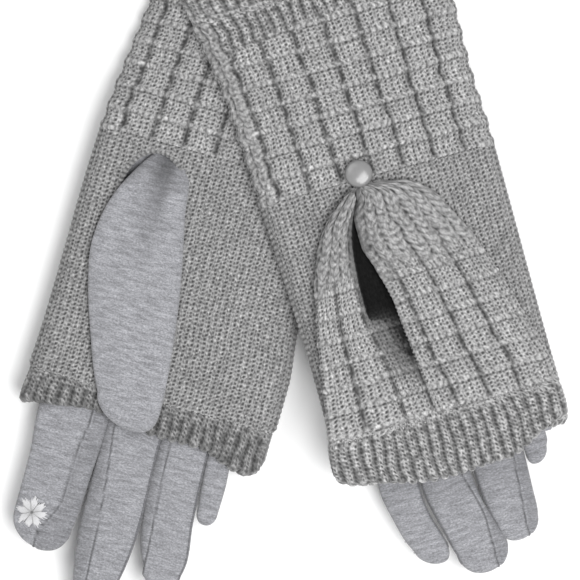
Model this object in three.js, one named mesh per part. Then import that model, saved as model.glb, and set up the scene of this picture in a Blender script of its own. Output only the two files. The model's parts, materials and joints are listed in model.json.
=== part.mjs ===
import * as THREE from "three";

// A pair of convertible flip-top mittens lying flat: knitted fingerless mittens with a
// flap that folds back over the hand, and a jersey glove sewn inside each of them.
// Millimetres, +Z up. The right glove lies palm up, the left one back up across its cuff.

// ---- Driving dimensions ----
const KNIT = 2.2; // thickness of the knitted fabric
const JERSEY = 1.2; // thickness of the inner glove's fabric
const CLEARANCE = 0.3; // gap between neighbouring layers
const HAND_SPACE = 4.8; // free height inside the inner glove
const POUCH_SPACE = 4.6; // free height inside the flap
const FINGER_HEIGHT = 7.4; // height of a finger or thumb that lies flat
const HEM_LENGTH = 14; // ribbed edge at the fingers and at the flap's mouth
const WRIST_BAND_LENGTH = 15; // ribbed band at the arm end of the cuff
const LEAN = THREE.MathUtils.degToRad(15.5); // each glove leans this far from +Y
const DRAPE_LENGTH = 60; // length over which a cuff comes down to the floor
const DRAPE_WIDTH = 60; // width over which one glove climbs onto the other
const PILE_GAP = 2; // room between the two gloves where they cross
const COLUMNS = [-44, -28, -8, 10, 28, 46]; // places across a hand that its layers share
const HAND_ROWS = [20, 34, 48, 62, 76, 88, 97, 107, 117]; // and along it
const RIGHT_EDGE = 56; // reach of the right glove towards the left one
const THUMB_OPENING = { column: 1, rows: [97, 117] };
const OPENING_EDGE = 3; // width of the knitted edge round the thumb opening
const STRIP_DEPTH = 0.9; // recess of a fourchette strip in a finger's side
const BUTTON = { radius: 6.25, height: 4.5, stem: 2.5, loop: 4.4, cord: 0.8 };
const FLOWER = { radius: 5.4, petals: 8, thickness: 0.6 };

// Distances from the middle of the hand space, first and last surface of each layer.
const after = (layer, thickness) => [
  layer[1] + CLEARANCE,
  layer[1] + CLEARANCE + thickness,
];
const LINER = [HAND_SPACE / 2, HAND_SPACE / 2 + JERSEY];
const SHELL = after(LINER, KNIT);
const FLAP_NEAR = after(SHELL, KNIT);
const FLAP_FAR = [
  FLAP_NEAR[1] + POUCH_SPACE,
  FLAP_NEAR[1] + POUCH_SPACE + KNIT,
];
const THUMB = after(SHELL, FINGER_HEIGHT);

// ---- Each glove, as [along, across] points of its edges, from its finger hem up ----
const RIGHT = {
  side: "right",
  palm: 1,
  place: [-66.2, -63],
  lean: -LEAN,
  hem: 0,
  ridge: 127,
  wrist: 228,
  roots: -2.2,
  thumbEdge: [[0, -56.4], [27, -54.6], [127, -52.8], [188, -46.8], [228, -43]],
  littleEdge: [[0, 55.3], [36, 55.8], [61, 53.4], [127, 53], [228, 43.4]],
  flap: {
    hem: 2,
    thumbEdge: [[2, -50], [30, -46], [72, -39], [102, -28], [114, -11]],
    littleEdge: [[2, 50], [33, 46], [68, 36], [104, 21], [114, 8]],
    droop: 0,
    lift: 0,
  },
  button: [-2, 121.2],
  thumb: {
    root: 118,
    mid: null,
    sections: [
      [118, -31, -11],
      [97, -41.3, -7],
      [76, -44.5, -2.4],
      [37, -34.5, 3.6],
      [12, -24.3, 5.5],
      [3, -18, 3],
    ],
    tip: [-1.6, -5],
  },
  fingers: [
    {
      name: "index",
      strips: [1],
      sections: [[-2.5, -48.2, -16.4], [-24, -46.4, -17.6], [-52, -46.1, -19.5], [-60, -41.5, -22]],
      tip: [-63.7, -31],
    },
    {
      name: "middle",
      strips: [-1, 1],
      sections: [[-2.5, -15.6, 9], [-40, -15.6, 10.2], [-66, -13.2, 8], [-79, -10.5, 4.5]],
      tip: [-84, -3],
    },
    {
      name: "ring",
      strips: [-1, 1],
      sections: [[-2.5, 9.7, 31.2], [-35, 10.9, 32.8], [-52, 14.2, 34.8], [-63, 18.5, 33]],
      tip: [-68, 26],
    },
    {
      name: "little",
      strips: [],
      sections: [[-2.5, 32, 42], [-14, 33, 41.6], [-22, 34, 41.2], [-30, 35.4, 40.6]],
      tip: [-34, 38],
    },
  ],
  flower: [-35.5, -47.5],
};

const LEFT = {
  side: "left",
  palm: -1,
  place: [70.2, -63],
  lean: LEAN,
  hem: -8,
  ridge: 119,
  wrist: 219,
  roots: -13.5,
  thumbEdge: [[-8, -50], [32, -49], [119, -51.6], [174, -54.6], [219, -62.4]],
  littleEdge: [[-8, 53.3], [32, 52.8], [119, 53.2], [151, 52.2], [219, 54]],
  flap: {
    hem: -6,
    thumbEdge: [[-6, -52.5], [8, -52.4], [30, -47.9], [72, -40.8], [102, -29.8], [114, -14]],
    littleEdge: [[-6, 53.2], [16, 52.9], [33, 48.5], [68, 37.1], [104, 21.3], [114, 5]],
    droop: 13,
    lift: 1.4,
  },
  button: [-7.5, 121.2],
  thumb: {
    root: 98,
    mid: 0.2 + FINGER_HEIGHT / 2,
    sections: [
      [98, -26, -6],
      [80, -30, 0],
      [60, -31, 4],
      [30, -24, 9],
      [8, -16, 10],
      [1, -12, 8],
    ],
    tip: [-3, -3],
  },
  fingers: [
    {
      name: "index",
      strips: [1],
      sections: [[-18.5, -36.2, -18.4], [-34, -33.5, -17.4], [-45, -30.4, -14.2], [-53, -26, -12]],
      tip: [-57.3, -18],
    },
    {
      name: "middle",
      strips: [-1, 1],
      sections: [[-21.8, -17.2, 5.2], [-45, -12.8, 9.4], [-56, -10, 12.6], [-62.5, -6.5, 9.8]],
      tip: [-66.7, 1],
    },
    {
      name: "ring",
      strips: [-1, 1],
      sections: [[-20.5, 7.4, 30.5], [-36, 8.4, 30], [-45.6, 10.2, 29.6], [-52.4, 13.6, 26.6]],
      tip: [-56.6, 19],
    },
    {
      name: "little",
      strips: [],
      sections: [[-15.8, 31.2, 43], [-18.5, 31.6, 42], [-21, 32, 41], [-23.5, 33, 38.4]],
      tip: [-25.5, 35.4],
    },
  ],
  flower: [-24, -44],
};

// ---- Small tools ----
const mix = (a, b, t) => a + (b - a) * t;
const smooth = (x) => THREE.MathUtils.smoothstep(x, 0, 1);
const steps = (from, to, n) => Array.from({ length: n + 1 }, (_, i) => mix(from, to, i / n));

// The value at x of a run of straight stretches through [x, value] points.
function along(points, x) {
  const i = Math.max(1, Math.min(points.length - 1, points.findIndex((p) => p[0] >= x)));
  const [[x0, y0], [x1, y1]] = [points[i - 1], points[i]];
  const n = x > points.at(-1)[0] ? points.length - 1 : i;
  if (n !== i) return points.at(-1)[1];
  return mix(y0, y1, THREE.MathUtils.clamp((x - x0) / (x1 - x0), 0, 1));
}

// A geometry from points and triangles, turned to face outwards.
function solid(points, triangles) {
  let volume = 0;
  const [a, b, c] = [new THREE.Vector3(), new THREE.Vector3(), new THREE.Vector3()];
  for (const [i, j, k] of triangles) {
    a.fromArray(points[i]);
    b.fromArray(points[j]);
    c.fromArray(points[k]);
    volume += a.dot(b.cross(c));
  }
  const facing = volume < 0 ? triangles.map(([i, j, k]) => [i, k, j]) : triangles;
  const geometry = new THREE.BufferGeometry();
  geometry.setAttribute("position", new THREE.Float32BufferAttribute(points.flat(), 3));
  geometry.setIndex(facing.flat());
  geometry.computeVertexNormals();
  return geometry;
}

// A closed sheet on a grid of cells: faces(i, j) gives the two surface points at a grid
// point, and present(i, j) says which cells are there, so that a sheet can have a hole.
function sheet(columns, rows, faces, present = () => true) {
  const points = [];
  const triangles = [];
  const numbers = new Map();
  const number = (i, j, side) => {
    const key = (i * (rows + 1) + j) * 2 + side;
    if (!numbers.has(key)) numbers.set(key, points.push(faces(i, j)[side]) - 1);
    return numbers.get(key);
  };
  const quad = (p, q, r, t) => triangles.push([p, q, r], [p, r, t]);
  const there = (i, j) => i >= 0 && j >= 0 && i < columns && j < rows && present(i, j);
  const wall = (i, j, m, n) =>
    quad(number(i, j, 1), number(i, j, 0), number(m, n, 0), number(m, n, 1));
  for (let i = 0; i < columns; i++) {
    for (let j = 0; j < rows; j++) {
      if (!there(i, j)) continue;
      const ring = [[i, j], [i + 1, j], [i + 1, j + 1], [i, j + 1]];
      quad(...ring.map(([m, n]) => number(m, n, 1)));
      const [p, q, r, t] = ring.map(([m, n]) => number(m, n, 0));
      triangles.push([p, r, q], [p, t, r]);
      if (!there(i, j - 1)) wall(i, j, i + 1, j);
      if (!there(i + 1, j)) wall(i + 1, j, i + 1, j + 1);
      if (!there(i, j + 1)) wall(i + 1, j + 1, i, j + 1);
      if (!there(i - 1, j)) wall(i, j + 1, i, j);
    }
  }
  return solid(points, triangles);
}

// Triangles between each loop of points and the next one. crossed(k, i) says which
// quads are split along their other diagonal.
function skin(loops, closed, crossed = () => false) {
  const sides = loops[0].length;
  const triangles = [];
  for (let k = 0; k < loops.length - (closed ? 0 : 1); k++) {
    const next = (k + 1) % loops.length;
    for (let i = 0; i < sides; i++) {
      const j = (i + 1) % sides;
      const [a, b, c, d] = [k * sides + i, k * sides + j, next * sides + j, next * sides + i];
      if (crossed(k, i)) triangles.push([a, b, d], [b, c, d]);
      else triangles.push([a, b, c], [a, c, d]);
    }
  }
  return triangles;
}

// A band: loops of points round a tube, out along it and back inside, joined end to end.
const band = (loops, crossed) => solid(loops.flat(), skin(loops, true, crossed));

// A pocket closed at its tip: outer loops from mouth to tip, then the inner ones.
function pocket(outer, outerTip, inner, innerTip) {
  const sides = outer[0].length;
  const loops = [...outer.toReversed(), ...inner];
  const points = [...loops.flat(), outerTip, innerTip];
  const triangles = skin(loops, false);
  const last = (loops.length - 1) * sides;
  for (let i = 0; i < sides; i++) {
    const j = (i + 1) % sides;
    triangles.push([j, i, points.length - 2], [last + i, last + j, points.length - 1]);
  }
  return solid(points, triangles);
}

// ---- How the pair drapes ----
const cuffDrop = (s) => smooth((s - 125) / DRAPE_LENGTH);

// Height of the middle of the hand space of the right glove, which lies on its flap.
const rightMiddle = (s) => mix(FLAP_FAR[1], SHELL[1], cuffDrop(s));

// A place in one glove's own directions, as seen from another glove.
function seenFrom(other, glove, w, s) {
  const p = new THREE.Vector2(w, s).rotateAround(new THREE.Vector2(), glove.lean);
  p.add(new THREE.Vector2(...glove.place)).sub(new THREE.Vector2(...other.place));
  return p.rotateAround(new THREE.Vector2(), -other.lean);
}

// The left glove lies on its thumb and cuff, and climbs onto the right glove beside it.
function leftMiddle(w, s) {
  const low = mix(THUMB[1] + 0.2, SHELL[1] + 0.2, cuffDrop(s));
  const over = seenFrom(RIGHT, LEFT, w, s);
  const high = rightMiddle(over.y) + 2 * SHELL[1] + PILE_GAP;
  return mix(high, low, smooth((over.x - RIGHT_EDGE) / DRAPE_WIDTH));
}

RIGHT.middle = (w, s) => rightMiddle(s);
LEFT.middle = leftMiddle;

// The point of a glove at a distance from the middle of its hand space, palm side positive.
const at = (glove, w, s, t) => [w, s, glove.middle(w, s) + glove.palm * t];

// ---- Pieces ----
// A flat layer between two distances from the middle, on nodes given as [w, s].
function layer(glove, [t0, t1], nodes, present) {
  return sheet(
    nodes.length - 1,
    nodes[0].length - 1,
    (i, j) => [at(glove, ...nodes[i][j], t0), at(glove, ...nodes[i][j], t1)],
    present,
  );
}

// The nodes of a layer that runs from edge to edge of a glove, moved in by an inset.
function handNodes({ thumbEdge, littleEdge }, rows, inset) {
  const first = rows.map((s) => [along(thumbEdge, s) + inset, s]);
  const last = rows.map((s) => [along(littleEdge, s) - inset, s]);
  const inside = (w, j) => THREE.MathUtils.clamp(w, first[j][0] + 2, last[j][0] - 2);
  return [first, ...COLUMNS.map((w) => rows.map((s, j) => [inside(w, j), s])), last];
}

// Nodes spread evenly between two paths with the same number of points.
function nodesBetween(first, last, n) {
  const between = (p, q, f) => [mix(p[0], q[0], f), mix(p[1], q[1], f)];
  return steps(0, 1, n).map((f) => first.map((p, j) => between(p, last[j], f)));
}

// A flattened tube's section: a box with cut corners and points along its long sides.
function tubeLoop(glove, w0, w1, s, [t0, t1], inset) {
  const [left, right] = [w0 + inset, w1 - inset];
  const [low, high] = [t0 + inset, t1 - inset];
  const cut = Math.min(1.2, (high - low) / 4);
  const inside = (w) => THREE.MathUtils.clamp(w, w0 + 6, w1 - 6);
  const flat = [left + cut, ...COLUMNS.map(inside), right - cut];
  const where = (w) => (typeof s === "function" ? s(w) : s);
  return [
    ...flat.map((w) => at(glove, w, where(w), high)),
    at(glove, right, where(right), high - cut),
    at(glove, right, where(right), low + cut),
    ...flat.toReversed().map((w) => at(glove, w, where(w), low)),
    at(glove, left, where(left), low + cut),
    at(glove, left, where(left), high - cut),
  ];
}

// A ribbed band round the opening of a tube of knitting, its mouth straight or curved.
function ribBand(glove, { thumbEdge, littleEdge }, from, to, layers, mouth = from) {
  const loop = (place, base, inset) =>
    tubeLoop(glove, along(thumbEdge, base), along(littleEdge, base), place, layers, inset);
  const flats = COLUMNS.length + 2;
  const isLower = (i) => i > flats + 1 && i <= 2 * flats;
  return band(
    [loop(mouth, from, 0), loop(to, to, 0), loop(to, to, KNIT), loop(mouth, from, KNIT)],
    (k, i) => (k === 0 && isLower(i)) || (k === 2 && !isLower(i)),
  );
}

// A path of [w, s] points moved sideways, to the right of its run where positive.
function offsetPath(path, distance) {
  return path.map(([w, s], k) => {
    const [a, b] = [path[Math.max(0, k - 1)], path[Math.min(path.length - 1, k + 1)]];
    const run = new THREE.Vector2(b[0] - a[0], b[1] - a[1]).normalize();
    return [w + distance * run.y, s - distance * run.x];
  });
}

// An upright strip that joins two layers along an edge.
function seam(glove, outer, inner, [t0, t1]) {
  return sheet(1, outer.length - 1, (i, j) => {
    const [w, s] = i ? inner[j] : outer[j];
    return [at(glove, w, s, t0), at(glove, w, s, t1)];
  });
}

const edgePath = (edge, rows) => rows.map((s) => [along(edge, s), s]);

const ROUND = 12; // points round a finger's section
const sideNumber = (i) => Math.cos((i / ROUND) * 2 * Math.PI);
const power = (x, n) => Math.sign(x) * Math.abs(x) ** n;

// One point of a finger's flattened round section, some way inside its outline.
function sectionPoint(i, [s, w0, w1], middle, inset) {
  const angle = (i / ROUND) * 2 * Math.PI;
  const [a, b] = [(w1 - w0) / 2 - inset, FINGER_HEIGHT / 2 - inset];
  const w = (w0 + w1) / 2 + a * power(Math.cos(angle), 0.55);
  return [w, s, middle(w, s) + b * power(Math.sin(angle), 0.55)];
}

// A hollow finger or thumb, recessed on the sides that carry a fourchette strip.
function fingerSleeve({ sections, tip, strips = [] }, middle) {
  const loop = (section, k, inset, recessed) =>
    Array.from({ length: ROUND }, (_, i) => {
      const side = sideNumber(i);
      const strip = strips.some((way) => way * side > 0.8) && k < sections.length - 1;
      return sectionPoint(i, section, middle, inset + (recessed && strip ? STRIP_DEPTH : 0));
    });
  const wall = strips.length ? STRIP_DEPTH + JERSEY / 2 : JERSEY;
  const [s, w] = tip;
  const end = Math.sign(tip[0] - sections.at(-1)[0]);
  return pocket(
    sections.map((section, k) => loop(section, k, 0, true)),
    [w, s, middle(w, s)],
    sections.map((section, k) => loop(section, k, wall, false)),
    [w, s - end * wall * 1.4, middle(w, s)],
  );
}

// The strip of jersey let into the side of a finger.
function fourchetteStrip({ sections }, way, middle) {
  const first = way > 0 ? -1 : ROUND / 2 - 1;
  return sheet(2, sections.length - 2, (i, j) => {
    const k = (first + i + ROUND) % ROUND;
    return [0, STRIP_DEPTH - CLEARANCE].map((inset) =>
      sectionPoint(k, sections[j], middle, inset),
    );
  });
}

// A button's dome, turned about its own upright axis.
function buttonDome() {
  const { radius, height } = BUTTON;
  const arc = steps(0, Math.PI / 2, 4).map(
    (a) => new THREE.Vector2(radius * Math.cos(a), height * (0.35 + 0.65 * Math.sin(a))),
  );
  const profile = [new THREE.Vector2(0, 0), new THREE.Vector2(radius * 0.86, 0), ...arc];
  profile[profile.length - 1].x = 0;
  return new THREE.LatheGeometry(profile, 16);
}

// The elastic loop from the flap's tip round the button's stem, at height 0.
function buttonLoop(tip) {
  const { loop, cord } = BUTTON;
  const near = tip + cord + CLEARANCE;
  const path = new THREE.CatmullRomCurve3([
    new THREE.Vector3(-1, near, 0),
    new THREE.Vector3(-loop * 0.9, near * 0.55, 0),
    new THREE.Vector3(-loop, 0, 0),
    new THREE.Vector3(0, loop, 0),
    new THREE.Vector3(loop, 0, 0),
    new THREE.Vector3(loop * 0.9, near * 0.55, 0),
    new THREE.Vector3(1.6, near, 0),
  ]);
  const section = new THREE.Shape().absarc(0, 0, cord, 0, 2 * Math.PI);
  return new THREE.ExtrudeGeometry(section, { steps: 18, curveSegments: 3, extrudePath: path });
}

// The embroidered flower on the tip of the index finger.
function touchFlower() {
  const { radius, petals, thickness } = FLOWER;
  const outline = steps(0, 2 * Math.PI, petals * 4)
    .slice(0, -1)
    .map((a) => {
      const r = radius * (0.8 + 0.2 * Math.cos(petals * a));
      return new THREE.Vector2(r * Math.cos(a), r * Math.sin(a));
    });
  return new THREE.ExtrudeGeometry(new THREE.Shape(outline), {
    depth: thickness,
    bevelEnabled: false,
  });
}

// ---- Materials ----
const COLOURS = {
  knit: [0x9a9a9c, 0.95],
  rib: [0x949496, 0.95],
  jersey: [0x9da3ab, 0.9],
  elastic: [0x8c8c90, 0.8],
  button: [0xa6a6a8, 0.25],
  thread: [0xd9dadd, 0.6],
};

function piece(name, geometry, kind) {
  const [color, roughness] = COLOURS[kind];
  const material = new THREE.MeshStandardMaterial({ color, roughness, metalness: 0 });
  const mesh = new THREE.Mesh(geometry, material);
  mesh.name = name;
  return mesh;
}

// ---- One glove ----
function shellPieces(glove, add) {
  const { hem, ridge, wrist, thumbEdge, littleEdge } = glove;
  const bandStart = wrist - WRIST_BAND_LENGTH;
  const inside = KNIT + CLEARANCE;
  const back = SHELL.map((t) => -t);
  const whole = [-SHELL[1], SHELL[1]];
  const handRows = [hem + HEM_LENGTH + CLEARANCE, ...HAND_ROWS, ridge];
  const cuffRows = steps(ridge + CLEARANCE, bandStart - CLEARANCE, 7);
  const hand = handNodes(glove, handRows, inside);
  const cuff = handNodes(glove, cuffRows, inside);
  const solidCell = (i, j) => i !== THUMB_OPENING.column + 1 || !isOpeningRow(handRows[j]);
  const side = (edge, way) => {
    const outer = edgePath(edge, [...handRows, ...cuffRows]);
    return seam(glove, outer, outer.map(([w, s]) => [w + way * KNIT, s]), whole);
  };
  add("shell_back", layer(glove, back, hand), "knit");
  add("shell_palm", layer(glove, SHELL, hand, solidCell), "knit");
  add("cuff_back", layer(glove, back, cuff), "knit");
  add("cuff_palm", layer(glove, SHELL, cuff), "knit");
  add("side_seam_thumb", side(thumbEdge, 1), "knit");
  add("side_seam_little", side(littleEdge, -1), "knit");
  add("finger_hem", ribBand(glove, glove, hem, hem + HEM_LENGTH, whole), "rib");
  add("wrist_band", ribBand(glove, glove, bandStart, wrist, whole), "rib");
  add("thumb_opening_edge", openingEdge(glove), "rib");
}

const isOpeningRow = (s) => s >= THUMB_OPENING.rows[0] && s < THUMB_OPENING.rows[1];

// The knitted edge that lines the thumb opening in the palm.
function openingEdge(glove) {
  const [left, right] = COLUMNS.slice(THUMB_OPENING.column);
  const [from, to] = THUMB_OPENING.rows;
  const inset = CLEARANCE + OPENING_EDGE;
  const ws = [left + CLEARANCE, left + inset, right - inset, right - CLEARANCE];
  const rows = [from + CLEARANCE, from + inset, (from + to) / 2, to - inset, to - CLEARANCE];
  const nodes = ws.map((w) => rows.map((s) => [w, s]));
  return layer(glove, SHELL, nodes, (i, j) => i !== 1 || j === 0 || j === rows.length - 2);
}

function flapPieces(glove, add) {
  const { hem, thumbEdge, littleEdge, droop, lift } = glove.flap;
  const away = ([t0, t1]) => [-t1 - lift, -t0 - lift];
  const hemEnd = hem + HEM_LENGTH;
  const tip = thumbEdge.at(-1)[0];
  const whole = away([FLAP_NEAR[0], FLAP_FAR[1]]);
  const rows = steps(hemEnd + 1.2, tip, 8);
  const [thumbSide, littleSide] = [thumbEdge, littleEdge].map((edge) => edgePath(edge, rows));
  const reach = KNIT + CLEARANCE;
  const below = ([w, s]) => [w, Math.min(s, tip - reach)];
  const first = offsetPath(thumbSide, reach).map(below);
  const last = offsetPath(littleSide, -reach).map(below);
  const nodes = nodesBetween(first, last, 6);
  const closing = [...littleSide, thumbSide.at(-1)];
  const closingInner = [
    ...offsetPath(littleSide, -KNIT).map(([w, s]) => [w, Math.min(s, tip - KNIT)]),
    [thumbSide.at(-1)[0], tip - KNIT],
  ];
  const shortened = (path) => path.map(([w, s]) => [w, Math.min(s, tip - reach)]);
  const mouth = (w) => hem - droop * Math.cos((w / 112) * Math.PI) ** 0.7;
  add("flap_near_layer", layer(glove, away(FLAP_NEAR), nodes), "knit");
  add("flap_far_layer", layer(glove, away(FLAP_FAR), nodes), "knit");
  add(
    "flap_seam_thumb",
    seam(glove, shortened(thumbSide), shortened(offsetPath(thumbSide, KNIT)), whole),
    "knit",
  );
  add("flap_seam_little", seam(glove, closing, closingInner, whole), "knit");
  add("flap_hem", ribBand(glove, glove.flap, hem, hemEnd, whole, mouth), "rib");
}

function buttonPieces(glove, add) {
  const [w, s] = glove.button;
  const tip = glove.flap.thumbEdge.at(-1)[0] - s;
  const base = glove.middle(w, s);
  const up = (t) => base - glove.palm * t;
  const flip = glove.palm > 0;
  const stemFoot = SHELL[1] + 1.2;
  const stemTop = stemFoot + 3;
  const loopLevel = stemFoot + 1.4;
  const middle = (from, to) => (up(from) + up(to)) / 2;
  const stem = new THREE.CylinderGeometry(BUTTON.stem, BUTTON.stem, 3, 12);
  const place = (mesh, z, turned) => {
    mesh.position.set(w, s, z);
    if (turned) mesh.rotation.x = Math.PI / 2;
    return mesh;
  };
  place(add("button_shank", stem, "button"), middle(stemFoot, stemTop), true);
  const dome = add("button_dome", buttonDome(), "button");
  place(dome, up(stemTop + CLEARANCE), false);
  dome.rotation.x = flip ? -Math.PI / 2 : Math.PI / 2;
  place(add("flap_loop", buttonLoop(tip), "elastic"), up(loopLevel), false);
}

function linerPieces(glove, add) {
  const rows = [glove.roots, glove.hem, glove.hem + HEM_LENGTH, ...HAND_ROWS, glove.ridge];
  const nodes = COLUMNS.map((w) => rows.map((s) => [w, s]));
  const solidCell = (i, j) => i !== THUMB_OPENING.column || !isOpeningRow(rows[j]);
  add("liner_back", layer(glove, LINER.map((t) => -t), nodes), "jersey");
  add("liner_palm", layer(glove, LINER, nodes, solidCell), "jersey");
}

// A finger lies level with the hand at its root.
function fingerMiddle(glove, { sections }) {
  const [root, left, right] = sections[0];
  const height = glove.middle((left + right) / 2, root);
  return () => height;
}

function fingerPieces(glove, add) {
  for (const finger of glove.fingers) {
    const middle = fingerMiddle(glove, finger);
    add(`liner_${finger.name}`, fingerSleeve(finger, middle), "jersey");
    for (const way of finger.strips) {
      const side = way > 0 ? "little_side" : "thumb_side";
      const name = `fourchette_${finger.name}_${side}`;
      add(name, fourchetteStrip(finger, way, middle), "jersey");
    }
  }
  const { thumb } = glove;
  const level = (THUMB[0] + THUMB[1]) / 2;
  const middle = thumb.mid === null
    ? (w, s) => glove.middle(w, s) + glove.palm * level
    : () => thumb.mid;
  add("liner_thumb", fingerSleeve(thumb, middle), "jersey");
  const [w, s] = glove.flower;
  const index = fingerMiddle(glove, glove.fingers[0])();
  const reach = FINGER_HEIGHT / 2 + 2 * CLEARANCE;
  const flower = add("touch_flower", touchFlower(), "thread");
  flower.position.set(w, s, index + (glove.palm > 0 ? reach : -reach - FLOWER.thickness));
}

function makeGlove(glove) {
  const group = new THREE.Group();
  const add = (name, geometry, kind) => {
    const mesh = piece(`${glove.side}_${name}`, geometry, kind);
    group.add(mesh);
    return mesh;
  };
  shellPieces(glove, add);
  flapPieces(glove, add);
  buttonPieces(glove, add);
  linerPieces(glove, add);
  fingerPieces(glove, add);
  group.position.set(...glove.place, 0);
  group.rotation.z = glove.lean;
  return group;
}

// The pair, standing on z = 0 with the origin under the middle of its box.
const mittens = new THREE.Group();
mittens.add(makeGlove(RIGHT), makeGlove(LEFT));
const extent = new THREE.Box3().setFromObject(mittens, true);
for (const glove of mittens.children) {
  glove.position.x -= (extent.min.x + extent.max.x) / 2;
  glove.position.y -= (extent.min.y + extent.max.y) / 2;
}

export default mittens;
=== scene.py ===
import json
import math

import bpy
import numpy as np
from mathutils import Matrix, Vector


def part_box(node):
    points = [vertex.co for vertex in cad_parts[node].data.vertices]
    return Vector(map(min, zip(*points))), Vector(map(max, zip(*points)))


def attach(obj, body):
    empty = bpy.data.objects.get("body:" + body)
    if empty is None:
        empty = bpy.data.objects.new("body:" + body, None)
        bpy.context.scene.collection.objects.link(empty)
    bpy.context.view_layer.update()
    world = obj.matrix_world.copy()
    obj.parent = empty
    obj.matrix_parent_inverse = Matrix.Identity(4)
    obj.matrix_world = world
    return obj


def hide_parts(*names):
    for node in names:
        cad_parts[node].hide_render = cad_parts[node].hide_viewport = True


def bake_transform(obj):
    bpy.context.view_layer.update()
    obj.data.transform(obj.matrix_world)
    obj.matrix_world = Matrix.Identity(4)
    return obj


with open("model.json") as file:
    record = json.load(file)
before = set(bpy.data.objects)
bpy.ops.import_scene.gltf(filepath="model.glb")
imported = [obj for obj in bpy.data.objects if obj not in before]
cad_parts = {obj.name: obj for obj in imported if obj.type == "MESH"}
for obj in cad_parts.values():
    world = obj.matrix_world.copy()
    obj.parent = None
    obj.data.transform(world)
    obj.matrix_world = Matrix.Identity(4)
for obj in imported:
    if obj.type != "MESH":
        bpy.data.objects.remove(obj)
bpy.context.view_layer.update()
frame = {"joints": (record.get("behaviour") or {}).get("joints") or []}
JOINTS = {j["name"]: j for j in frame["joints"]}

# ---- Sizes, in millimetres unless a name says otherwise ----
MM = 0.001
SHELL = 6.1  # the knit shell's half thickness about the glove's middle sheet
HAND_ROUND, FLAP_ROUND = 110.0, 104.0  # the fabric's width across one side of a hand and a flap
HEM_THICK, TURNED_IN = 2.4, 17
RIGHT_BAND_SHADE = 0.2  # the right glove's bands lie lower and catch less light
SIDE_BEAT = 0.5  # how far the sides bulge with the rows of the waffle knit
LINER = 3.5  # half thickness of the jersey hand
FLAP_BASE = 7.6  # the height of the left flap's inner layer above the middle sheet
FINGER_HALF = 3.7  # half thickness of a finger
FINGER_STEP, THUMB_STEP = 0.7, 0.75
INSIDE_HAND = 16.0  # how far a finger's tube runs up inside the hem
THUMB_SINK = 6.8  # how far the thumb's root dips into its opening
STRIPS = {"index": (1,), "middle": (-1, 1), "ring": (-1, 1)}  # -1 thumb's side, 1 little finger's
WALE, COURSE = 2.75, 1.95  # one stitch, across and along
RIB_PITCH = 4.7
WAFFLE_WIDE, WAFFLE_TALL = 14.2, 10.5
GROOVE_SHIFT, GROOVE_HALF = 2.2, 0.95
GROOVES_END = 49.0  # no grooves farther than this from the middle of the fabric
HEM, BAND = 14.0, 15.0  # lengths of the ribbing at the fingers and at the arm
FINE, COARSE = 0.38, 1.3  # mesh steps on faces that are seen, and on those that aren't
# The right glove's middle sheet sinks from the first height to the second along the arm
LEAN_DROP = (15.4, 6.1)
DRAPE_START, DRAPE_LENGTH = 125.0, 60.0
PILE_RISE = 14.2
PILE_EDGE, DRAPE_WIDTH = 56.0, 60.0
LEFT_LEVEL, LEFT_REST = 14.0, 6.3

# Each glove's plan: s runs up the hand from the fingers to the arm, w across it from the thumb to
# the little finger. Edges, slits and seams are (s, w) points, mouths (w, s) points, fingers
# (s, left, right) rows and a tip (s, w), and the hole, flower and button start with (w, s).
RIGHT = {
    "side": "right", "face": 1, "hinge": 1.6, "axis": -1, "hem": 0, "ridge": 127, "wrist": 228,
    "thumb_edge": [(0, -56.4), (27, -54.6), (127, -52.8), (188, -46.8), (228, -43)],
    "little_edge": [(0, 55.3), (36, 55.8), (61, 53.4), (127, 53), (228, 43.4)],
    "mouth": [(-56, 0), (-40, 2.5), (-21, 4.4), (3, 0.8), (26, 0.8), (49, -5), (55, 1)],
    "flap": {
        "thumb_edge": [(2, -50), (30, -46), (72, -39), (102, -28), (114, -11)],
        "little_edge": [(2, 50), (33, 46), (68, 36), (104, 21), (114, 8)],
        "mouth": [(-50, 2), (0, -1), (50, 2)],
        "start": 16, "middle": -10.8, "half": 4.4,
    },
    "thumb_middle": 25.5, "thumb_hole": (-25, 104, 14.5, 19),
    "thumb": [(118, -31, -11), (97, -41.3, -7), (76, -44.5, -2.4), (57, -41, 1),
              (37, -34.5, 3.6), (12, -24.3, 5.5), (3, -18, 3)],
    "thumb_tip": (-1.6, -5),
    "fingers": {
        "index": ([(-2.5, -48.2, -16.4), (-24, -46.4, -17.6), (-52, -46.1, -19.5), (-60, -41.5, -22)],
                  (-63.7, -31)),
        "middle": ([(-2.5, -15.6, 9), (-40, -15.6, 10.2), (-66, -13.2, 8), (-79, -10.5, 4.5)],
                   (-84, -3)),
        "ring": ([(-2.5, 9.7, 31.2), (-35, 10.9, 32.8), (-52, 14.2, 34.8), (-63, 18.5, 33)], (-68, 26)),
        "little": ([(-2.5, 31.3, 42), (-16, 32, 42.8), (-28, 33.2, 42.6)], (-34, 37.8)),
    },
    "seams": {
        "index": ([(-4, -24), (-20, -26.2), (-40, -26.6), (-56, -33.5)],),
        "middle": ([(-3, -12.6), (-28, -9.6), (-50, -7.8), (-80, -6.2)],),
        "ring": ([(-4, 13.6), (-22, 14.6), (-46, 16.4), (-66, 17.8)],),
    },
    "finger_level": 15.4, "gusset": -1, "flower": (-38.3, -48.9), "button": (-2, 121.2),
    "rib_from": 212, "rib_slope": 0, "chain_from": -60,
}
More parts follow.
